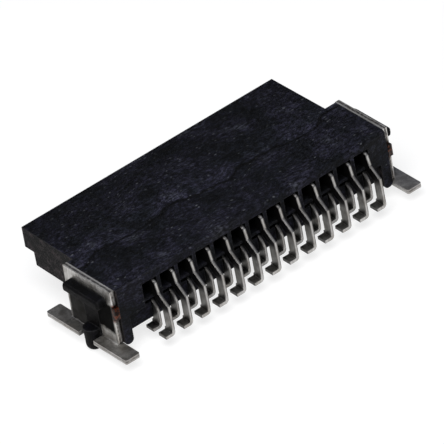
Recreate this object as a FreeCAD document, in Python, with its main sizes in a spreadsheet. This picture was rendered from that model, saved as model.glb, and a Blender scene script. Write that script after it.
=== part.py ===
import FreeCAD, Part
import math
import os
import Sketcher

# Board-to-board connector, right-angle surface-mount half, two rows of thirteen contacts.
# Millimetres. Origin on the circuit board's face, midway between the two locating pegs.
# +Z up from the board, +Y towards the mating face, +X along the rows.

os.makedirs("parts", exist_ok=True)
doc = FreeCAD.newDocument("connector")

# Sizes
sheet = doc.addObject("Spreadsheet::Sheet", "Sheet")
sizes = [
    # rows of contacts
    ("pitch", "1.27"),
    ("contacts", "13"),
    ("row_shift", "0.42"),
    ("end_margin", "2.03"),
    # flange, the tall rear part of the housing
    ("rear_depth", "2.275"),
    ("flange_depth", "2.03"),
    ("top_height", "3.8"),
    ("lip_height", "1.8"),
    ("wall_thick", "1.0"),
    ("undercut_depth", "0.3"),
    ("under_height", "0.69"),
    ("top_round", "0.18"),
    ("corner_leg_width", "0.6"),
    ("corner_leg_lift", "0.1"),
    ("corner_leg_round", "0.27"),
    # nose, the part that enters the other half
    ("nose_reach", "4.65"),
    ("nose_inset_left", "0.35"),
    ("nose_inset_right", "0.74"),
    ("nose_floor", "1.55"),
    ("nose_draft", "0.06"),
    ("nose_step_height", "2.46"),
    ("nose_step_depth", "0.8"),
    # rear slots with their ledge
    ("slot_shift", "0.22"),
    ("slot_width", "1.02"),
    ("slot_top", "3.3"),
    ("ledge_top", "2.25"),
    ("ledge_thick", "0.18"),
    ("ledge_recess", "0.02"),
    ("gate_width", "0.3"),
    # cavities and the channels that hold the contacts
    ("upper_row", "3.02"),
    ("lower_row", "2.0"),
    ("cavity_width", "0.7"),
    ("cavity_height", "0.56"),
    ("lead_in", "0.1"),
    ("channel_length", "2.4"),
    # contacts
    ("blade_thick", "0.2"),
    ("slip", "0.02"),
    ("strip_width", "0.54"),
    ("grip_height", "0.36"),
    ("barb_height", "0.02"),
    ("fork_height", "0.48"),
    ("fork_gap", "0.16"),
    ("fork_back", "0.5"),
    ("upper_leg_out", "1.2"),
    ("upper_belly_out", "0.4"),
    ("upper_belly_height", "2.52"),
    ("upper_knee_height", "1.9"),
    ("upper_lean", "0.05"),
    ("shoulder_round", "0.24"),
    ("lower_leg_out", "0.08"),
    ("lower_knee_height", "1.08"),
    ("foot_width", "0.67"),
    ("foot_reach", "0.46"),
    ("foot_thick", "0.2"),
    ("foot_bend", "0.24"),
    ("foot_crook", "0.05"),
    # hold-down brackets
    ("plate_thick", "0.3"),
    ("plate_width", "4.15"),
    ("window_width", "1.29"),
    ("window_top", "3.1"),
    ("bracket_foot_wing", "1.48"),
    ("bracket_foot_out", "0.69"),
    ("bracket_foot_thick", "0.28"),
    ("bracket_bend", "0.3"),
    ("bracket_crook", "0.1"),
    ("bracket_corner", "0.12"),
    ("stub_low", "2.0"),
    ("stub_high", "2.75"),
    ("stub_out", "0.22"),
    # posts on the ends of the housing
    ("post_slip", "0.03"),
    ("stem_low", "0.3"),
    ("head_half", "1.575"),
    ("head_low", "2.62"),
    ("head_high", "3.2"),
    ("head_out", "0.63"),
    ("head_round", "0.2"),
    ("head_bevel", "0.12"),
    ("peg_radius", "0.5"),
    ("peg_root_radius", "0.53"),
    ("peg_root_lift", "0.02"),
    ("peg_top", "0.7"),
    ("peg_depth", "0.72"),
    ("peg_round", "0.34"),
]
# Sizes that follow from the ones above
derived = [
    ("body_half", "=pitch * (contacts - 1) / 2 + end_margin"),
    ("first_x", "=row_shift - pitch * (contacts - 1) / 2"),
    ("slot_x", "=first_x - slot_shift"),
    ("wall_front", "=wall_thick - rear_depth"),
    ("cavity_floor", "=wall_front + channel_length"),
    ("nose_front", "=flange_depth + nose_reach"),
    ("lower_front", "=nose_front - nose_step_depth"),
    ("plate_in", "=body_half + slip"),
    ("plate_out", "=plate_in + plate_thick"),
    ("head_in", "=plate_out + slip"),
    ("peg_x", "=body_half + peg_radius"),
    ("stem_half", "=window_width / 2 - post_slip"),
    ("ledge_low", "=ledge_top - ledge_thick"),
    ("channel_half", "=grip_height / 2 + barb_height + slip"),
]
for row, (name, value) in enumerate(sizes + derived, start=1):
    sheet.set(f"A{row}", name)
    sheet.set(f"B{row}", value)
    sheet.setAlias(f"B{row}", name)
doc.recompute()


def size(name):
    return float(sheet.get(name))


def bound(text):
    """Turn the plain names in a formula into references to the sheet."""
    names = sorted((name for name, _ in sizes + derived), key=len, reverse=True)
    words = []
    word = ""
    for letter in text + " ":
        if letter.isalnum() or letter == "_":
            word += letter
            continue
        words.append("Sheet." + word if word in names else word)
        words.append(letter)
        word = ""
    return "".join(words).strip()


def origin_feature(body, role):
    return [item for item in body.Origin.OriginFeatures if item.Role == role][0]


# Sketches: each corner is two formulas; five entries mean an arc leaves that corner,
# with its centre as the third and fourth and its turn, left or right, as the fifth.
def sketch(body, name, role, loops, shift=None):
    drawing = body.newObject("Sketcher::SketchObject", name)
    drawing.AttachmentSupport = (origin_feature(body, role), [""])
    drawing.MapMode = "FlatFace"
    if shift:
        for axis, formula in shift.items():
            drawing.setExpression(f"AttachmentOffset.Base.{axis}", bound(formula))
    for corners in loops:
        start = drawing.GeometryCount
        count = len(corners)
        where = []
        for corner in corners:
            across = float(drawing.evalExpression(bound(corner[0])))
            up = float(drawing.evalExpression(bound(corner[1])))
            where.append(FreeCAD.Vector(across, up, 0))
        shapes = []
        ends = []
        for index, corner in enumerate(corners):
            here = where[index]
            there = where[(index + 1) % count]
            if len(corner) == 2:
                shapes.append(Part.LineSegment(here, there))
                ends.append((1, 2))
                continue
            centre = FreeCAD.Vector(float(drawing.evalExpression(bound(corner[2]))),
                                    float(drawing.evalExpression(bound(corner[3]))), 0)
            circle = Part.Circle(centre, FreeCAD.Vector(0, 0, 1), (here - centre).Length)
            first = math.atan2(here.y - centre.y, here.x - centre.x)
            last = math.atan2(there.y - centre.y, there.x - centre.x)
            if corner[4] == "left":
                shapes.append(Part.ArcOfCircle(circle, first, last))
                ends.append((1, 2))
            else:
                shapes.append(Part.ArcOfCircle(circle, last, first))
                ends.append((2, 1))
        drawing.addGeometry(shapes, False)
        rules = []
        for index in range(count):
            after = (index + 1) % count
            rules.append(Sketcher.Constraint("Coincident", start + index, ends[index][1],
                                             start + after, ends[after][0]))
        formulas = []
        for index, corner in enumerate(corners):
            point = ends[index][0]
            rules.append(Sketcher.Constraint("DistanceX", -1, 1, start + index, point, where[index].x))
            formulas.append((len(rules) - 1, corner[0]))
            rules.append(Sketcher.Constraint("DistanceY", -1, 1, start + index, point, where[index].y))
            formulas.append((len(rules) - 1, corner[1]))
            if len(corner) > 2:
                across = float(drawing.evalExpression(bound(corner[2])))
                rules.append(Sketcher.Constraint("DistanceX", -1, 1, start + index, 3, across))
                formulas.append((len(rules) - 1, corner[2]))
        first_rule = drawing.ConstraintCount
        drawing.addConstraint(rules)
        for index, formula in formulas:
            drawing.setExpression(f"Constraints[{first_rule + index}]", bound(formula))
    return drawing


def rectangle(left, low, right, high):
    return [(left, low), (right, low), (right, high), (left, high)]


def pad(body, name, profile, length, middle=False, back=False, taper=0.0):
    feature = body.newObject("PartDesign::Pad", name)
    feature.Profile = profile
    feature.setExpression("Length", bound(length))
    feature.SideType = "Symmetric" if middle else "One side"
    feature.Reversed = back
    feature.TaperAngle = taper
    doc.recompute()
    return feature


def pocket(body, name, profile, length, middle=False, back=False, taper=0.0):
    feature = body.newObject("PartDesign::Pocket", name)
    feature.Profile = profile
    feature.setExpression("Length", bound(length))
    feature.SideType = "Symmetric" if middle else "One side"
    feature.Reversed = back
    feature.TaperAngle = taper
    doc.recompute()
    before = feature.BaseFeature.Shape.Volume
    if before - feature.Shape.Volume < 1e-6:
        raise ValueError(name + " removes nothing")
    return feature


def fillet(body, name, radius, chosen, kind="PartDesign::Fillet", key="Radius"):
    """Round the edges of the body's latest feature for which chosen(edge) is true."""
    base = body.Tip
    edges = [f"Edge{number}" for number, edge in enumerate(base.Shape.Edges, start=1) if chosen(edge)]
    if not edges:
        raise ValueError(name + " finds no edge")
    feature = body.newObject(kind, name)
    feature.Base = (base, edges)
    feature.setExpression(key, bound(radius))
    doc.recompute()
    return feature


def along(edge, axis):
    """True when a straight edge runs along the axis."""
    if len(edge.Vertexes) != 2:
        return False
    step = edge.Vertexes[1].Point - edge.Vertexes[0].Point
    rest = [abs(step.x), abs(step.y), abs(step.z)]
    length = rest.pop("xyz".index(axis))
    return length > 1e-6 and max(rest) < 1e-6


def near(a, b):
    return abs(a - b) < 1e-5


def mirrored(body, name, originals):
    feature = body.newObject("PartDesign::Mirrored", name)
    feature.Originals = originals
    feature.MirrorPlane = (origin_feature(body, "YZ_Plane"), [""])
    body.Tip = feature
    doc.recompute()
    return feature


def repeated(body, name, originals):
    feature = body.newObject("PartDesign::LinearPattern", name)
    feature.Originals = originals
    feature.Direction = (origin_feature(body, "X_Axis"), [""])
    feature.setExpression("Length", bound("pitch * (contacts - 1)"))
    feature.setExpression("Occurrences", bound("contacts"))
    body.Tip = feature
    doc.recompute()
    return feature


# Housing: one moulding with a tall slotted rear wall, a stepped nose, two T-posts and two pegs
housing = doc.addObject("PartDesign::Body", "housing")
housing.Label = "housing"

flange_side = [
    ("-rear_depth", "top_height"),
    ("-rear_depth", "lip_height"),
    ("undercut_depth - rear_depth", "lip_height"),
    ("undercut_depth - rear_depth", "under_height"),
    ("flange_depth", "under_height"),
    ("flange_depth", "top_height"),
]
pad(housing, "flange", sketch(housing, "flange_side", "YZ_Plane", [flange_side]),
    "2 * body_half", middle=True)
fillet(housing, "rear_top_round", "top_round",
       lambda edge: along(edge, "x") and near(edge.Vertexes[0].Y, -size("rear_depth"))
       and near(edge.Vertexes[0].Z, size("top_height")))

# Corner legs stand almost on the board, one at each end of the rear wall
corner_legs = [
    rectangle("-body_half", "corner_leg_lift", "-body_half + corner_leg_width", "lip_height + wall_thick / 4"),
    rectangle("body_half - corner_leg_width", "corner_leg_lift", "body_half", "lip_height + wall_thick / 4"),
]
pad(housing, "corner_legs",
    sketch(housing, "corner_leg_front", "XZ_Plane", corner_legs, {"z": "rear_depth"}),
    "wall_thick", back=True)
fillet(housing, "corner_leg_ends", "corner_leg_round",
       lambda edge: along(edge, "y") and near(edge.Vertexes[0].Z, size("corner_leg_lift")))

# The nose narrows a little from its root to the mating face, and its top stays level
nose_root = rectangle("nose_inset_left - body_half", "nose_floor",
                      "body_half - nose_inset_right", "top_height")
nose_tip = rectangle("nose_inset_left + nose_draft - body_half", "nose_floor + nose_draft / 2",
                     "body_half - nose_inset_right - nose_draft", "top_height")
nose = housing.newObject("PartDesign::AdditiveLoft", "nose")
nose.Profile = sketch(housing, "nose_root", "XZ_Plane", [nose_root], {"z": "-flange_depth"})
nose.Sections = [sketch(housing, "nose_tip", "XZ_Plane", [nose_tip], {"z": "-nose_front"})]
nose.Ruled = True
doc.recompute()
step_side = [
    ("lower_front", "nose_step_height"),
    ("lower_front - nose_draft / 2", "nose_floor - 0.2"),
    ("nose_front + 0.5", "nose_floor - 0.2"),
    ("nose_front + 0.5", "nose_step_height"),
]
pocket(housing, "nose_step", sketch(housing, "nose_step_side", "YZ_Plane", [step_side]),
       "2 * body_half", middle=True)

# Rear slots: wide and open to the rear, with a rounded ledge across them and a narrow gate
# below each one, through which the lower contact comes out
slot = rectangle("slot_x - slot_width / 2", "lip_height - 0.1", "slot_x + slot_width / 2", "slot_top")
slot_cut = pocket(housing, "slot", sketch(housing, "slot_front", "XZ_Plane", [slot], {"z": "rear_depth"}),
                  "wall_thick")
gate = rectangle("first_x - gate_width / 2", "under_height - 0.1", "first_x + gate_width / 2", "ledge_low")
gate_cut = pocket(housing, "gate", sketch(housing, "gate_front", "XZ_Plane", [gate], {"z": "rear_depth"}),
                  "wall_thick")
repeated(housing, "slots", [slot_cut, gate_cut])
ledge_side = [
    ("wall_front + 0.1", "ledge_low"),
    ("wall_front + 0.1", "ledge_top"),
    ("ledge_recess + ledge_thick / 2 - rear_depth", "ledge_top",
     "ledge_recess + ledge_thick / 2 - rear_depth", "ledge_low + ledge_thick / 2", "left"),
    ("ledge_recess + ledge_thick / 2 - rear_depth", "ledge_low"),
]
ledge = pad(housing, "ledge", sketch(housing, "ledge_side", "YZ_Plane", [ledge_side]),
            "2 * body_half - 2 * corner_leg_width", middle=True)

# Channels grip the contacts, and open into the chamfered cavities of the mating face
upper_channel = rectangle("first_x - blade_thick / 2 - slip", "upper_row - channel_half",
                          "first_x + blade_thick / 2 + slip", "upper_row + channel_half")
lower_channel = rectangle("first_x - blade_thick / 2 - slip", "lower_row - channel_half",
                          "first_x + blade_thick / 2 + slip", "lower_row + channel_half")
channels = sketch(housing, "channel_front", "XZ_Plane", [upper_channel, lower_channel],
                  {"z": "-wall_front"})
channel_cut = pocket(housing, "channels", channels, "channel_length + 0.05")
upper_cavity = rectangle("first_x - cavity_width / 2", "upper_row - cavity_height / 2",
                         "first_x + cavity_width / 2", "upper_row + cavity_height / 2")
lower_cavity = rectangle("first_x - cavity_width / 2", "lower_row - cavity_height / 2",
                         "first_x + cavity_width / 2", "lower_row + cavity_height / 2")
cavities = sketch(housing, "cavity_front", "XZ_Plane", [upper_cavity, lower_cavity],
                  {"z": "-nose_front"})
cavity_cut = pocket(housing, "cavities", cavities, "nose_front - cavity_floor", back=True)
upper_mouth = rectangle("first_x - cavity_width / 2 - lead_in", "upper_row - cavity_height / 2 - lead_in",
                        "first_x + cavity_width / 2 + lead_in", "upper_row + cavity_height / 2 + lead_in")
lower_mouth = rectangle("first_x - cavity_width / 2 - lead_in", "lower_row - cavity_height / 2 - lead_in",
                        "first_x + cavity_width / 2 + lead_in", "lower_row + cavity_height / 2 + lead_in")
upper_lead = pocket(housing, "upper_lead_in",
                    sketch(housing, "upper_mouth", "XZ_Plane", [upper_mouth], {"z": "-nose_front"}),
                    "lead_in", back=True, taper=-45.0)
lower_lead = pocket(housing, "lower_lead_in",
                    sketch(housing, "lower_mouth", "XZ_Plane", [lower_mouth], {"z": "-lower_front"}),
                    "lead_in", back=True, taper=-45.0)
repeated(housing, "contact_places", [channel_cut, cavity_cut, upper_lead, lower_lead])

# Posts: a stem in the bracket's window, a cross bar outside the bracket, and a peg below
stem = pad(housing, "stem",
           sketch(housing, "stem_side", "YZ_Plane",
                  [rectangle("-stem_half", "stem_low", "stem_half", "window_top - post_slip")],
                  {"z": "body_half - 0.2"}),
           "head_in - body_half + 0.2")
head_side = [
    ("-head_half", "head_low + head_round", "head_round - head_half", "head_low + head_round", "left"),
    ("head_round - head_half", "head_low"),
    ("head_half - head_round", "head_low", "head_half - head_round", "head_low + head_round", "left"),
    ("head_half", "head_low + head_round"),
    ("head_half", "head_high - head_round", "head_half - head_round", "head_high - head_round", "left"),
    ("head_half - head_round", "head_high"),
    ("head_round - head_half", "head_high", "head_round - head_half", "head_high - head_round", "left"),
    ("-head_half", "head_high - head_round"),
]
head = pad(housing, "cross_bar",
           sketch(housing, "cross_bar_side", "YZ_Plane", [head_side], {"z": "head_in"}),
           "head_out - head_bevel")
head_face = pad(housing, "cross_bar_face",
                sketch(housing, "cross_bar_rim", "YZ_Plane", [head_side],
                       {"z": "head_in + head_out - head_bevel"}),
                "head_bevel", taper=-45.0)
peg_outline = [
    ("0", "peg_top"),
    ("0", "-peg_depth"),
    ("peg_radius - peg_round", "-peg_depth", "peg_radius - peg_round", "peg_round - peg_depth", "left"),
    ("peg_radius", "peg_round - peg_depth"),
    ("peg_radius", "peg_root_lift"),
    ("peg_root_radius", "peg_top"),
]
peg = housing.newObject("PartDesign::Revolution", "peg")
peg_sketch = sketch(housing, "peg_outline", "XZ_Plane", [peg_outline], {"x": "peg_x"})
peg.Profile = peg_sketch
peg.ReferenceAxis = (peg_sketch, ["V_Axis"])
peg.Angle = 360.0
doc.recompute()
mirrored(housing, "other_post", [stem, head, head_face, peg])


# Contacts: stamped blades that stand on edge, with a fork in the cavity and a bent solder foot
def contact(name, place, row, rear_outline, fork_tip, leg_edge):
    blade = doc.addObject("PartDesign::Body", name)
    blade.Label = name
    blade.setExpression("Placement.Base.x", bound(f"first_x + {place} * pitch"))
    fork = [
        ("cavity_floor - 0.35", f"{row} - grip_height / 2"),
        ("cavity_floor - 0.25", f"{row} - grip_height / 2 - barb_height"),
        ("cavity_floor - 0.05", f"{row} - grip_height / 2 - barb_height"),
        ("cavity_floor + slip", f"{row} - grip_height / 2"),
        ("cavity_floor + 0.2", f"{row} - fork_height / 2"),
        (f"{fork_tip} - 0.5", f"{row} - fork_height / 2 + 0.02"),
        (fork_tip, f"{row} - fork_height / 2"),
        (fork_tip, f"{row} - fork_gap"),
        (f"{fork_tip} - 0.35", f"{row} - fork_gap / 2"),
        (f"{fork_tip} - 0.7", f"{row} - fork_gap * 0.7"),
        ("cavity_floor + 1.1", f"{row} - fork_gap * 0.7"),
        ("cavity_floor + 1.0", row),
        ("cavity_floor + 1.1", f"{row} + fork_gap * 0.7"),
        (f"{fork_tip} - 0.7", f"{row} + fork_gap * 0.7"),
        (f"{fork_tip} - 0.35", f"{row} + fork_gap / 2"),
        (fork_tip, f"{row} + fork_gap"),
        (fork_tip, f"{row} + fork_height / 2"),
        (f"{fork_tip} - 0.5", f"{row} + fork_height / 2 - 0.02"),
        ("cavity_floor + 0.2", f"{row} + fork_height / 2"),
        ("cavity_floor + slip", f"{row} + grip_height / 2"),
        ("cavity_floor - 0.05", f"{row} + grip_height / 2 + barb_height"),
        ("cavity_floor - 0.25", f"{row} + grip_height / 2 + barb_height"),
        ("cavity_floor - 0.35", f"{row} + grip_height / 2"),
    ]
    pad(blade, "blade", sketch(blade, "blade_side", "YZ_Plane", [rear_outline + fork]),
        "blade_thick", middle=True)
    foot_front = [
        ("blade_thick / 2", "foot_thick + foot_crook + 0.1"),
        ("blade_thick / 2", "0"),
        ("-blade_thick / 2 - foot_reach", "0"),
        ("-blade_thick / 2 - foot_reach", "foot_thick"),
        ("-blade_thick / 2", "foot_thick"),
        ("-blade_thick / 2", "foot_thick + foot_crook + 0.1"),
    ]
    pad(blade, "foot", sketch(blade, "foot_front", "XZ_Plane", [foot_front], {"z": leg_edge}),
        "foot_width", back=True)
    half = size("blade_thick") / 2
    fillet(blade, "foot_bend_outside", "foot_bend",
           lambda edge: along(edge, "y") and near(edge.Vertexes[0].X, half)
           and near(edge.Vertexes[0].Z, 0))
    fillet(blade, "foot_bend_inside", "foot_crook",
           lambda edge: along(edge, "y") and near(edge.Vertexes[0].X, -half)
           and near(edge.Vertexes[0].Z, size("foot_thick")))
    return blade


leg_foot = "foot_thick + foot_crook"
# From the channel back over the ledge, out of the slot, and down clear of the lower row
upper_outline = [
    ("wall_front + slip", "upper_row + grip_height / 2"),
    ("wall_front - slip", "slot_top - 0.05"),
    ("shoulder_round + 0.13 - upper_belly_out - rear_depth", "slot_top - 0.05",
     "shoulder_round + 0.13 - upper_belly_out - rear_depth", "slot_top - 0.05 - shoulder_round", "left"),
    ("0.13 - upper_belly_out - rear_depth", "slot_top - 0.05 - shoulder_round"),
    ("-upper_belly_out - rear_depth", "upper_belly_height"),
    ("upper_lean - upper_leg_out - rear_depth", "upper_knee_height"),
    ("-upper_leg_out - rear_depth", leg_foot),
    ("strip_width - upper_leg_out - rear_depth", leg_foot),
    ("strip_width + upper_lean / 2 - upper_leg_out - rear_depth", "upper_knee_height - strip_width / 2"),
    ("-ledge_recess - slip - rear_depth", "ledge_low + 0.02"),
    ("-slip - rear_depth", "ledge_top + slip"),
    ("wall_front - slip", "ledge_top + slip"),
    ("wall_front - slip", "upper_row - grip_height / 2"),
]
# From the channel out under the ledge and down close behind the rear wall
lower_outline = [
    ("wall_front + 0.25", "lower_row + grip_height / 2"),
    ("wall_front + slip", "ledge_low - 0.06"),
    ("wall_front - 0.3", "ledge_low - 0.08"),
    ("0.35 - rear_depth", "lower_knee_height + 0.72"),
    ("0.13 - lower_leg_out - rear_depth", "lower_knee_height + 0.3"),
    ("-lower_leg_out - rear_depth", "lower_knee_height"),
    ("-lower_leg_out - rear_depth", leg_foot),
    ("strip_width - lower_leg_out - rear_depth", leg_foot),
    ("strip_width - lower_leg_out - rear_depth", "lower_knee_height - 0.05"),
    ("strip_width + 0.25 - lower_leg_out - rear_depth", "lower_knee_height + 0.4"),
    ("wall_front - slip", "lower_row - grip_height / 2"),
]
bodies = [housing]
for place in range(int(size("contacts"))):
    bodies.append(contact(f"contact_upper_{place + 1:02d}", place, "upper_row", upper_outline,
                          "nose_front - fork_back", "rear_depth + upper_leg_out"))
for place in range(int(size("contacts"))):
    bodies.append(contact(f"contact_lower_{place + 1:02d}", place, "lower_row", lower_outline,
                          "lower_front - fork_back", "rear_depth + lower_leg_out"))


# Hold-down brackets: an arch of strip round each post's stem, with two feet bent outwards
def bracket(name, side):
    strip = doc.addObject("PartDesign::Body", name)
    strip.Label = name
    left = side < 0
    arch = [
        ("-plate_width / 2", "0"),
        ("-window_width / 2", "0"),
        ("-window_width / 2", "window_top"),
        ("window_width / 2", "window_top"),
        ("window_width / 2", "0"),
        ("plate_width / 2", "0"),
        ("plate_width / 2", "top_height"),
        ("-plate_width / 2", "top_height"),
        ("-plate_width / 2", "stub_high"),
        ("-plate_width / 2 - stub_out", "stub_high"),
        ("-plate_width / 2 - stub_out", "stub_low"),
        ("-plate_width / 2", "stub_low"),
    ]
    pad(strip, "arch", sketch(strip, "arch_side", "YZ_Plane", [arch], {"z": f"{side} * plate_in"}),
        "plate_thick", back=left)
    toe = f"{side} * (plate_out + bracket_foot_out)"
    feet = [
        rectangle(f"{side} * plate_in", "-plate_width / 2", toe, "-window_width / 2"),
        rectangle(f"{side} * plate_in", "window_width / 2", toe, "plate_width / 2"),
    ]
    pad(strip, "feet", sketch(strip, "feet_plan", "XY_Plane", feet), "bracket_foot_thick")
    fillet(strip, "bend_outside", "bracket_bend",
           lambda edge: along(edge, "y") and near(abs(edge.Vertexes[0].X), size("plate_in"))
           and near(edge.Vertexes[0].Z, 0))
    fillet(strip, "bend_inside", "bracket_crook",
           lambda edge: along(edge, "y") and near(abs(edge.Vertexes[0].X), size("plate_out"))
           and near(edge.Vertexes[0].Z, size("bracket_foot_thick")))
    wings = [
        rectangle(f"{side} * plate_in", "-plate_width / 2 - bracket_foot_wing", toe, "-plate_width / 2"),
        rectangle(f"{side} * plate_in", "plate_width / 2", toe, "plate_width / 2 + bracket_foot_wing"),
    ]
    pad(strip, "wings", sketch(strip, "wings_plan", "XY_Plane", wings), "bracket_foot_thick")
    reach = size("plate_width") / 2 + size("bracket_foot_wing")
    fillet(strip, "wing_corners", "bracket_corner",
           lambda edge: along(edge, "z") and near(abs(edge.Vertexes[0].Y), reach))
    return strip


bodies.append(bracket("hold_down_left", -1))
bodies.append(bracket("hold_down_right", 1))

# Check each object and write each piece
doc.recompute()
for item in doc.Objects:
    if "Invalid" in item.State or "Error" in item.State:
        raise ValueError("failed: " + item.Name)
for body in bodies:
    shape = body.Shape
    if shape.isNull() or not shape.isValid() or len(shape.Solids) != 1:
        raise ValueError("bad solid: " + body.Label)
    shape.exportStep(f"parts/{body.Label}.step")
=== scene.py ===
import math
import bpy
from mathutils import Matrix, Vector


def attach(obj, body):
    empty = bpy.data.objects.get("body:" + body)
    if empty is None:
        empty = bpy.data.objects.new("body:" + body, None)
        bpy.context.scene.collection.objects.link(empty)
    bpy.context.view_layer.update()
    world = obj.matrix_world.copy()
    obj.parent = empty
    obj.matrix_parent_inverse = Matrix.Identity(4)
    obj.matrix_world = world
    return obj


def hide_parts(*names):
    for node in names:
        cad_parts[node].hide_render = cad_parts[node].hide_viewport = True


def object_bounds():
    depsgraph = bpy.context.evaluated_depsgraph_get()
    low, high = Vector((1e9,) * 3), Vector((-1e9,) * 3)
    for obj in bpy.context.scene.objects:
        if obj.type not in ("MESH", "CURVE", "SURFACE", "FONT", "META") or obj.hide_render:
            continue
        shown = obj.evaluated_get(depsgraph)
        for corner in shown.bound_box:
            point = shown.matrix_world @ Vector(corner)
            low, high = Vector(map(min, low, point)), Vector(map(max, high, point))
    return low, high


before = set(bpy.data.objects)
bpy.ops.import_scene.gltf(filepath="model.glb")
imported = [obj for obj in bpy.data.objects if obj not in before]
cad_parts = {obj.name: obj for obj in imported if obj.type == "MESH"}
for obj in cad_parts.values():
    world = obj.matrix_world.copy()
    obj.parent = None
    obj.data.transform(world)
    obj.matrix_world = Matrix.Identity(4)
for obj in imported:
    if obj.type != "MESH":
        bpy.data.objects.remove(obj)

from types import SimpleNamespace

import bmesh
import bpy
from mathutils import Matrix, Vector

cad_low, cad_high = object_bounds()
scene = bpy.context.scene
MM = 0.001


# Studio
# A pale sweep under the connector and one large soft box, high over its rear left corner, in a dim room.
# The sweep lies just under the tips of the two locating pegs, so the solder feet stand clear of it.
def node(tree, kind, inputs=None, **settings):
    """Add a node; an input that is a socket is linked, and any other value is set."""
    made = tree.nodes.new("ShaderNode" + kind)
    for key, value in settings.items():
        setattr(made, key, value)
    for key, value in (inputs or {}).items():
        if isinstance(value, bpy.types.NodeSocket):
            tree.links.new(value, made.inputs[key])
        else:
            made.inputs[key].default_value = value
    return made


def between(tree, value, start, end, low=0.0, high=1.0):
    """low where the value is at start, high where it is at end, in even steps between and level beyond."""
    return node(tree, "MapRange", {"Value": value, "From Min": start, "From Max": end,
                                   "To Min": low, "To Max": high}).outputs[0]


def worked(tree, operation, *values, **settings):
    """One operation on up to three values."""
    return node(tree, "Math", dict(enumerate(values)), operation=operation, **settings).outputs[0]


def ramp(tree, factor, stops):
    made = node(tree, "ValToRGB", {"Fac": factor})
    first, last = made.color_ramp.elements[0], made.color_ramp.elements[1]
    first.position, first.color = stops[0]
    last.position, last.color = stops[-1]
    for position, color in stops[1:-1]:
        made.color_ramp.elements.new(position).color = color
    return made.outputs["Color"]


def grey(level):
    return (level, level, level, 1)


sweep_half = 1.2
floor_gap = 0.02 * MM
glow_mirrored, glow_pictured = 0.25, 0.78
card_mirrored, card_pictured, card_lit = 0.55, 0.30, 0.40
room_above = (0.05, 0.055, 0.07, 1)
horizon_low, horizon_high = 0.04, 0.16
soft_box_side = 0.20
soft_box_place = (-0.10, -0.11, 0.27)
soft_box_watts = 0.95

floor_level = cad_low.z - floor_gap
floor_mesh = bpy.data.meshes.new("sweep")
floor_mesh.from_pydata(
    [(-sweep_half, -sweep_half, floor_level), (sweep_half, -sweep_half, floor_level),
     (sweep_half, sweep_half, floor_level), (-sweep_half, sweep_half, floor_level)],
    [], [(0, 1, 2, 3)])
sweep = bpy.data.objects.new("sweep", floor_mesh)
scene.collection.objects.link(sweep)

sweep_paint = bpy.data.materials.new("sweep_paint")
sweep_paint.use_nodes = True
tree = sweep_paint.node_tree
tree.nodes.clear()
# the camera sees a whiter sweep with a paler shadow than shiny metal does, and bounced light a plain card
rays = node(tree, "LightPath").outputs
glow_level = between(tree, rays["Is Camera Ray"], 0.0, 1.0, glow_mirrored, glow_pictured)
card_level = between(tree, rays["Is Camera Ray"], 0.0, 1.0, card_mirrored, card_pictured)
glow = node(tree, "Emission", {"Color": grey(1), "Strength": glow_level})
lit_card = node(tree, "BsdfDiffuse", {"Color": card_level})
seen = node(tree, "AddShader", {0: lit_card.outputs[0], 1: glow.outputs[0]})
shown = worked(tree, "ADD", rays["Is Camera Ray"], rays["Is Glossy Ray"], use_clamp=True)
shown = worked(tree, "ADD", shown, rays["Is Transmission Ray"], use_clamp=True)
card = node(tree, "BsdfDiffuse", {"Color": grey(card_lit)})
pick = node(tree, "MixShader", {"Fac": shown, 1: card.outputs[0], 2: seen.outputs[0]})
node(tree, "OutputMaterial", {"Surface": pick.outputs[0]})
floor_mesh.materials.append(sweep_paint)

world = bpy.data.worlds.new("studio")
world.use_nodes = True
scene.world = world
tree = world.node_tree
tree.nodes.clear()
way = node(tree, "TexCoord").outputs["Generated"]
height = node(tree, "SeparateXYZ", {"Vector": way}).outputs["Z"]
room_color = ramp(tree, height, [(horizon_low, grey(1)), (horizon_high, room_above)])
room = node(tree, "Background", {"Color": room_color, "Strength": 1.0})
node(tree, "OutputWorld", {"Surface": room.outputs[0]})

lamp = bpy.data.lights.new("soft_box", "AREA")
lamp.shape = "RECTANGLE"
lamp.size = soft_box_side
lamp.size_y = soft_box_side
lamp.energy = soft_box_watts
box = bpy.data.objects.new("soft_box", lamp)
box.location = soft_box_place
box.rotation_mode = "QUATERNION"
box.rotation_quaternion = (-box.location).to_track_quat("-Z", "Y")
scene.collection.objects.link(box)

scene.view_settings.view_transform = "Standard"

# Camera
# Long lens over the rear left corner, rolled a little, so the rows rise to the right.
# Its angles, place and focal length were fitted to the photograph, with the pitch as the scale
# and its distance held near a guess, because so flat a view hardly fixes it.
azimuth = math.radians(-33.325)
elevation = math.radians(35.008)
roll = math.radians(-10.292)
aside, above, away = -2.044, 2.365, 484.08
fitted_origin = Vector((0, -2.075, 0))
focal_pixels = 8769.243
photo_pixels = 444
film_width = 36

back = Vector((math.sin(azimuth) * math.cos(elevation),
               -math.cos(azimuth) * math.cos(elevation),
               math.sin(elevation)))
level = Vector((math.cos(azimuth), math.sin(azimuth), 0))
upright = back.cross(level)
right = math.cos(roll) * level + math.sin(roll) * upright
top = -math.sin(roll) * level + math.cos(roll) * upright
lens = bpy.data.cameras.new("camera")
lens.sensor_width = film_width
lens.lens = focal_pixels / photo_pixels * film_width
lens.clip_start = 0.01
lens.clip_end = 10
camera = bpy.data.objects.new("camera", lens)
spot = (right * aside + top * above + back * away + fitted_origin) * MM
camera.matrix_world = Matrix.Translation(spot) @ Matrix((right, top, back)).transposed().to_4x4()
scene.collection.objects.link(camera)
scene.camera = camera


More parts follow.
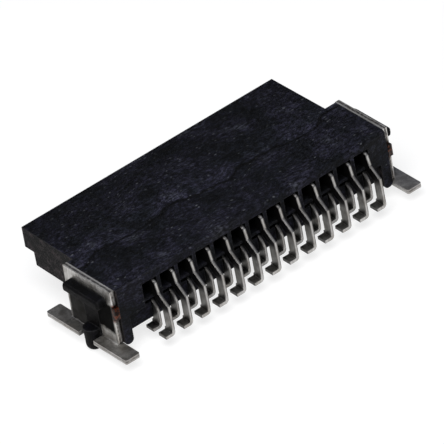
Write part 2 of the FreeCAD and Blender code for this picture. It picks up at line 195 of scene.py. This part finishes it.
# Housing
# One moulding in black glass-filled plastic: slotted rear wall, stepped nose, a post and a peg at each end.
# Its edges have the small radius that a mould gives.
# Its skin shows flow marks, a weld line and bare fibre ends.
def softened(name, node_name, radius, kinds):
    """A copy of a CAD node's mesh with its sharp edges rounded; kinds gives each face its material."""
    same_point = 0.0004 * MM
    flat_turn = math.radians(1.5)
    sharp_turn = math.radians(28)
    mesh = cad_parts[node_name].data.copy()
    mesh.name = name
    mesh.materials.clear()
    work = bmesh.new()
    work.from_mesh(mesh)
    bmesh.ops.remove_doubles(work, verts=work.verts, dist=same_point)
    bmesh.ops.dissolve_limit(work, angle_limit=flat_turn, use_dissolve_boundaries=False,
                             verts=work.verts, edges=work.edges)
    work.to_mesh(mesh)
    work.free()
    for face in mesh.polygons:
        face.use_smooth = True
        face.material_index = kinds(face)
    piece = bpy.data.objects.new(name, mesh)
    scene.collection.objects.link(piece)
    soften = piece.modifiers.new("edge_radius", "BEVEL")
    soften.width = radius
    soften.segments = 2
    soften.limit_method = "ANGLE"
    soften.angle_limit = sharp_turn
    smooth = piece.modifiers.new("flat_faces", "WEIGHTED_NORMAL")
    smooth.keep_sharp = True
    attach(piece, "root")
    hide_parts(node_name)
    return piece


def noise(tree, place, scale, detail, roughness=0.5):
    return node(tree, "TexNoise", {"Vector": place, "Scale": scale, "Detail": detail,
                                   "Roughness": roughness}).outputs


def axes(tree, place):
    return node(tree, "SeparateXYZ", {"Vector": place}).outputs


def shaded(tree, color, shade):
    """A colour multiplied by another colour or by a level."""
    return node(tree, "MixRGB", {"Fac": 1.0, "Color1": color, "Color2": shade},
                blend_type="MULTIPLY").outputs[0]


def laid_over(tree, share, under, over):
    """The colour over, laid on the colour under where share is 1."""
    return node(tree, "MixRGB", {"Fac": share, "Color1": under, "Color2": over}).outputs[0]


def painted_occlusion_shade(tree, reach, dark):
    """Painted shade: 1 where the surface lies open and a darker grey where other parts crowd round it."""
    open_sky = node(tree, "AmbientOcclusion", {"Distance": reach}, samples=8)
    return ramp(tree, open_sky.outputs["AO"], [(0.30, grey(dark)), (0.80, grey(1))])


housing_radius = 0.045 * MM
swirl_reach = 1.6 * MM
wash_rear, wash_front = -2.3 * MM, 6.7 * MM
mating_dark_start, mating_dark_end = 2.0 * MM, 7.0 * MM
end_wall_start, end_wall_full = 8.4 * MM, 8.6 * MM
post_start, post_full = 9.75 * MM, 9.95 * MM
edge_highlight_reach = 0.10 * MM
grain_depth = 0.026 * MM
patch_colors = [(0.30, (0.0012, 0.0014, 0.0020, 1)), (0.43, (0.0042, 0.0048, 0.0070, 1)),
                (0.56, (0.0092, 0.0090, 0.0155, 1)), (0.70, (0.0200, 0.0215, 0.0275, 1))]
mottling_levels = [(0.37, grey(0.0)), (0.50, grey(0.85)), (0.63, grey(4.2))]
wash_levels = [(0.10, (2.0, 2.0, 1.5, 1)), (0.24, grey(1.0)), (0.622, grey(0.9)), (0.636, grey(0.1)),
               (0.644, grey(0.1)), (0.658, grey(1.6)), (0.76, grey(1.25)), (0.85, grey(1.0))]
open_colors = [(0.42, (0.0004, 0.0003, 0.0003, 1)), (0.50, (0.0036, 0.0027, 0.0031, 1)),
               (0.62, (0.054, 0.043, 0.045, 1))]
fibre_color = (0.17, 0.18, 0.20, 1)
edge_highlight_color = (0.055, 0.055, 0.058, 1)


def black_plastic():
    """Mottled black skin, with open end walls, blacker posts, painted shade in its hollows and a painted
    highlight along its edges.
    """
    paint = bpy.data.materials.new("black_plastic")
    paint.use_nodes = True
    tree = paint.node_tree
    shader = tree.nodes["Principled BSDF"]
    place = node(tree, "TexCoord").outputs["Object"]
    # slow swirls bend the flow marks
    swirl = noise(tree, place, 260, 2)["Color"]
    bend = node(tree, "VectorMath", {0: swirl, 1: (swirl_reach, swirl_reach, swirl_reach)},
                operation="MULTIPLY").outputs[0]
    bent = node(tree, "VectorMath", {0: place, 1: bend}, operation="ADD").outputs[0]
    # cloudy patches of bluish black
    clouds = noise(tree, bent, 420, 5, 0.62)["Fac"]
    skin = ramp(tree, clouds, patch_colors)
    # fine mottling, a little drawn out along the rows
    drawn = node(tree, "Mapping", {"Vector": bent, "Scale": (3000, 6200, 6200)}).outputs[0]
    mottling = noise(tree, drawn, 1.0, 6, 0.85)["Fac"]
    skin = shaded(tree, skin, ramp(tree, mottling, mottling_levels))
    # dark weld line along the middle, with a paler wash on its mating side, and a greyer band at the rear
    along = axes(tree, bent)["Y"]
    across = between(tree, along, wash_rear, wash_front)
    wander = noise(tree, place, 300, 4)["Fac"]
    across = worked(tree, "MULTIPLY_ADD", wander, 0.3, across)
    skin = shaded(tree, skin, ramp(tree, across, wash_levels))
    # bare fibre ends, scattered and gathered in some places
    cells = node(tree, "TexVoronoi", {"Vector": drawn, "Scale": 0.9}).outputs
    dots = ramp(tree, cells["Distance"], [(0.10, grey(1)), (0.30, grey(0))])
    chance = ramp(tree, cells["Color"], [(0.64, grey(0)), (0.86, grey(1))])
    gather = ramp(tree, clouds, [(0.40, grey(0.25)), (0.64, grey(1.0))])
    fibre = shaded(tree, shaded(tree, dots, chance), gather)
    skin = laid_over(tree, fibre, skin, fibre_color)
    # darker towards the mating edge, and painted shade in the slots, cavities and corners
    towards_mating = between(tree, along, mating_dark_start, mating_dark_end)
    skin = shaded(tree, skin, ramp(tree, towards_mating, [(0.35, grey(1)), (0.75, grey(0.65))]))
    skin = shaded(tree, skin, painted_occlusion_shade(tree, 1.0 * MM, 0.1))
    # the end walls, where the skin is open, are browner and blotched
    face_normal = node(tree, "NewGeometry").outputs["True Normal"]
    from_middle = worked(tree, "ABSOLUTE", axes(tree, place)["X"])
    sideways = worked(tree, "ABSOLUTE", axes(tree, face_normal)["X"])
    end_wall = worked(tree, "MULTIPLY", between(tree, from_middle, end_wall_start, end_wall_full),
                      between(tree, sideways, 0.6, 0.9))
    blotches = noise(tree, place, 2000, 7, 0.8)["Fac"]
    skin = laid_over(tree, end_wall, skin, ramp(tree, blotches, open_colors))
    # the posts and pegs outside the end walls are blacker
    skin = shaded(tree, skin, between(tree, from_middle, post_start, post_full, 1.0, 0.22))
    # painted highlight: the edges are painted paler in patches, where their rounds catch the light
    rounded = node(tree, "Bevel", {"Radius": edge_highlight_reach}, samples=6).outputs[0]
    facing = node(tree, "VectorMath", {0: rounded, 1: face_normal}, operation="DOT_PRODUCT").outputs["Value"]
    edge_highlight = ramp(tree, facing, [(0.80, grey(0.85)), (0.99, grey(0))])
    patchy = ramp(tree, mottling, [(0.40, grey(0.25)), (0.58, grey(1))])
    skin = laid_over(tree, shaded(tree, edge_highlight, patchy), skin, edge_highlight_color)
    tree.links.new(skin, shader.inputs["Base Color"])
    tree.links.new(between(tree, mottling, 0.0, 1.0, 0.42, 0.72), shader.inputs["Roughness"])
    # spark-eroded grain of the mould
    grain = noise(tree, place, 9000, 4)["Fac"]
    bump = node(tree, "Bump", {"Height": worked(tree, "ADD", grain, mottling), "Strength": 1.0,
                               "Distance": grain_depth})
    tree.links.new(bump.outputs[0], shader.inputs["Normal"])
    shader.inputs["Specular IOR Level"].default_value = 0.13
    return paint


moulding = softened("moulded_housing", "housing", housing_radius, lambda face: 0)
moulding.data.materials.append(black_plastic())


# Contacts
# Thirteen upper and thirteen lower blades, stamped from thin copper alloy strip and tin plated.
# Each is held in a channel of the housing, and its foot is bent to one side to solder flat.
contact_count = 13
pitch = 1.27 * MM
row_shift = 0.42 * MM
first_x = row_shift - pitch * (contact_count - 1) / 2
strip_half = 0.1 * MM
contact_radius = 0.022 * MM
contact_foot_top = 0.27 * MM
scratch_depth = 0.008 * MM
dark_reflection_start, dark_reflection_full = 1.60 * MM, 1.95 * MM
flux_full, flux_end = 0.40 * MM, 0.75 * MM
painted_dark_reflection_color = (0.060, 0.056, 0.056, 1)
rollover_and_shade_color = (0.09, 0.085, 0.08, 1)
# a face looks along an axis when its normal's share of that axis is above this
squarely = 0.7


def tinned(name, tint, roughness, lines, layers, cloudy=0.72, nook=1.2 * MM, metallic=1.0):
    """Plated strip with fine drawn lines; each of its layers changes the tone or roughness in turn.
    cloudy is the level of its darkest clouds, and nook how near other parts must be for the painted shade to
    darken it."""
    plate = bpy.data.materials.new(name)
    plate.use_nodes = True
    tree = plate.node_tree
    shader = tree.nodes["Principled BSDF"]
    shader.inputs["Metallic"].default_value = metallic
    place = node(tree, "TexCoord").outputs["Object"]
    drawn = node(tree, "Mapping", {"Vector": place, "Scale": lines}).outputs[0]
    scratches = noise(tree, drawn, 1.0, 5, 0.65)["Fac"]
    clouds = noise(tree, place, 1500, 4)["Fac"]
    red, green, blue = tint
    cloud_color = (red * cloudy, green * cloudy * 0.97, blue * cloudy * 0.93, 1)
    tone = ramp(tree, clouds, [(0.34, cloud_color), (0.58, (*tint, 1))])
    worn = ramp(tree, scratches, [(0.3, grey(0.72)), (0.5, grey(0.95)), (0.66, grey(1.1))])
    # painted shade darkens the places where other parts crowd round, and the drawn lines vary the tone
    tone = shaded(tree, tone, shaded(tree, worn, painted_occlusion_shade(tree, nook, 0.05)))
    rough = between(tree, scratches, 0.0, 1.0, roughness - 0.1, roughness + 0.14)
    strip = SimpleNamespace(tree=tree, place=place, scratches=scratches, clouds=clouds,
                            tone=tone, rough=rough)
    for layer in layers:
        layer(strip)
    tree.links.new(strip.rough, shader.inputs["Roughness"])
    tree.links.new(strip.tone, shader.inputs["Base Color"])
    bump = node(tree, "Bump", {"Height": scratches, "Strength": 0.3, "Distance": scratch_depth})
    tree.links.new(bump.outputs[0], shader.inputs["Normal"])
    return plate


def solder_tail(strip):
    """Bright tin below and darker metal above, a painted dark reflection of the housing and the neighbouring
    blades, and a darker foot, taken to be dried flux.
    """
    tree = strip.tree
    ragged = worked(tree, "MULTIPLY", strip.clouds, 0.4 * MM)
    up = worked(tree, "ADD", axes(tree, strip.place)["Z"], ragged)
    # painted dark reflection on the upper part of the rolled faces
    dark_reflection = between(tree, up, dark_reflection_start, dark_reflection_full)
    strip.tone = laid_over(tree, dark_reflection, strip.tone, painted_dark_reflection_color)
    strip.tone = shaded(tree, strip.tone, between(tree, up, flux_full, flux_end, 0.52, 1.0))


def rolled_corners(strip):
    """The corners that the punch rolled over are darker than the burnished middle, above the feet: partly the
    duller rollover, partly painted shade on their rounds.
    """
    tree = strip.tree
    spots = axes(tree, strip.place)
    side = worked(tree, "WRAP", spots["X"], first_x + pitch / 2, first_x - pitch / 2)
    side = worked(tree, "ABSOLUTE", worked(tree, "SUBTRACT", side, first_x))
    corner = between(tree, side, strip_half * 0.35, strip_half * 0.75, 0.0, 0.85)
    above_foot = between(tree, spots["Z"], 0.30 * MM, 0.45 * MM)
    corner = worked(tree, "MULTIPLY", corner, above_foot)
    strip.tone = laid_over(tree, corner, strip.tone, rollover_and_shade_color)


def contact_kind(face):
    """0 for the rolled faces of the strip, 1 for its sheared edges."""
    if face.center.z > contact_foot_top:
        return 0 if abs(face.normal.x) > squarely else 1
    return 1 if abs(face.normal.y) > squarely else 0


# one tin plating: the faces get a darker tint than the edges, painted shade on the faces and painted light on
# the edges
broad_plating = tinned("contact_face_plating", (0.56, 0.55, 0.53), 0.38, (9000, 7000, 1100),
                       [solder_tail])
edge_plating = tinned("contact_edge_plating", (0.69, 0.675, 0.655), 0.36, (9000, 1600, 1600),
                      [rolled_corners])

for row in ("upper", "lower"):
    for number in range(1, contact_count + 1):
        blade = softened(f"{row}_blade_{number:02d}", f"contact_{row}_{number:02d}", contact_radius,
                         contact_kind)
        blade.data.materials.append(broad_plating)
        blade.data.materials.append(edge_plating)


# Hold-down brackets
# Two arches of tin-plated strip that stand between the end wall and the post's cross bar.
# Their feet are bent outwards to solder, and a sheared stub of the carrier is left on the rear edge.
bracket_radius = 0.03 * MM
bracket_foot_top = 0.3 * MM
bend_outside = 10.3 * MM
plate_inside, plate_outside = 9.67 * MM, 9.97 * MM
toe_underside, toe_top = 0.0, 0.28 * MM
stub_root, stub_low, stub_high = -1.90 * MM, 1.80 * MM, 2.95 * MM
stub_fade, stub_edge = 0.12 * MM, 0.10 * MM
leg_middle = 0.5 * MM
black_bottom_rear, black_bottom_front = 0.95 * MM, 0.30 * MM
black_top_start, black_top_full = 2.95 * MM, 2.75 * MM
black_side_start, black_side_full = 2.06 * MM, 1.90 * MM
bracket_nook = 0.25 * MM
pit_colors = [(0.44, (0.012, 0.009, 0.008, 1)), (0.55, (0.15, 0.13, 0.12, 1)), (0.68, (0.42, 0.40, 0.38, 1))]
stain_colors = [(0.50, (0.012, 0.005, 0.004, 1)), (0.66, (0.16, 0.038, 0.015, 1))]
bar_shade_color = grey(0.004)


def torn(strip, distance, low, high, depth):
    """The torn zone of a sheared edge, dark and pitted between the two burnished rims."""
    tree = strip.tree
    half = (high - low) * 0.5
    ragged = worked(tree, "ADD", distance, worked(tree, "MULTIPLY", strip.scratches, half))
    through = between(tree, ragged, low, high + half)
    zone = ramp(tree, through, [(0.36, grey(0)), (0.46, grey(depth)), (0.62, grey(depth)), (0.74, grey(0))])
    pitted = ramp(tree, noise(tree, strip.place, 6000, 3)["Fac"], pit_colors)
    strip.tone = laid_over(tree, zone, strip.tone, pitted)


def torn_arch(strip):
    """The torn zone runs along the arch's edges, between its inside and its outside."""
    from_middle = worked(strip.tree, "ABSOLUTE", axes(strip.tree, strip.place)["X"])
    torn(strip, from_middle, plate_inside, plate_outside, 0.85)


def torn_toes(strip):
    """The torn zone runs along the feet's edges, between their underside and their top."""
    torn(strip, axes(strip.tree, strip.place)["Z"], toe_underside, toe_top, 0.55)


def stained_stub(strip):
    """A brown stain on the stub, where the plating ends and the carrier was taken off."""
    tree = strip.tree
    spots = axes(tree, strip.place)
    behind = between(tree, spots["Y"], stub_root + stub_fade, stub_root - stub_fade)
    above = between(tree, spots["Z"], stub_low - stub_fade, stub_low + stub_edge)
    below = between(tree, spots["Z"], stub_high + stub_edge, stub_high - stub_fade)
    mask = worked(tree, "MULTIPLY", worked(tree, "MULTIPLY", behind, above), below)
    mask = shaded(tree, mask, ramp(tree, strip.clouds, [(0.36, grey(0.85)), (0.52, grey(1))]))
    bare = ramp(tree, noise(tree, strip.place, 5200, 3)["Fac"], stain_colors)
    strip.tone = laid_over(tree, mask, strip.tone, bare)


def painted_bar_shade(strip):
    """Painted shade of the cross bar: the legs are painted black below it, with the last millimetre of the
    rear leg left bright.
    """
    tree = strip.tree
    spots = axes(tree, strip.place)
    ragged = between(tree, strip.clouds, 0.0, 1.0, -0.3 * MM, 0.3 * MM)
    height = worked(tree, "ADD", spots["Z"], ragged)
    bottom = between(tree, spots["Y"], -leg_middle, leg_middle, black_bottom_rear, black_bottom_front)
    lift = worked(tree, "SUBTRACT", height, bottom)
    mask = worked(tree, "MULTIPLY", between(tree, lift, -0.08 * MM, 0.08 * MM),
                  between(tree, height, black_top_start, black_top_full))
    from_stem = worked(tree, "ABSOLUTE", spots["Y"])
    mask = worked(tree, "MULTIPLY", mask, between(tree, from_stem, black_side_start, black_side_full))
    depth = between(tree, spots["Y"], -leg_middle, leg_middle, 0.985, 0.90)
    mask = worked(tree, "MULTIPLY", mask, depth)
    strip.tone = laid_over(tree, mask, strip.tone, bar_shade_color)
    strip.rough = worked(tree, "MAXIMUM", strip.rough, mask)


def bracket_kind(face):
    """0 for the rolled faces, 1 for the arch's sheared edges, 2 for those of the feet."""
    if face.center.z > bracket_foot_top:
        return 0 if abs(face.normal.x) > squarely else 1
    lies_flat = abs(face.normal.z) > 0.4
    in_bend = abs(face.normal.y) < 0.4 and abs(face.center.x) < bend_outside
    return 0 if lies_flat or in_bend else 2


# the faces carry the stub's stain and the painted shade below the cross bar
face_plating = tinned("bracket_face_plating", (0.75, 0.73, 0.70), 0.42, (9000, 9000, 1300),
                      [stained_stub, painted_bar_shade], cloudy=0.55, nook=bracket_nook)
# the sheared edges get a lighter tint than the faces of the same tin, painted light
shear_plating = tinned("bracket_shear_plating", (0.86, 0.84, 0.81), 0.38, (3000, 2200, 3000),
                       [torn_arch, stained_stub], nook=bracket_nook, metallic=0.82)
toe_plating = tinned("bracket_toe_plating", (0.64, 0.62, 0.60), 0.40, (2200, 2200, 9000),
                     [torn_toes])

for side in ("left", "right"):
    arch = softened(f"{side}_arch", f"hold_down_{side}", bracket_radius, bracket_kind)
    for plating in (face_plating, shear_plating, toe_plating):
        arch.data.materials.append(plating)
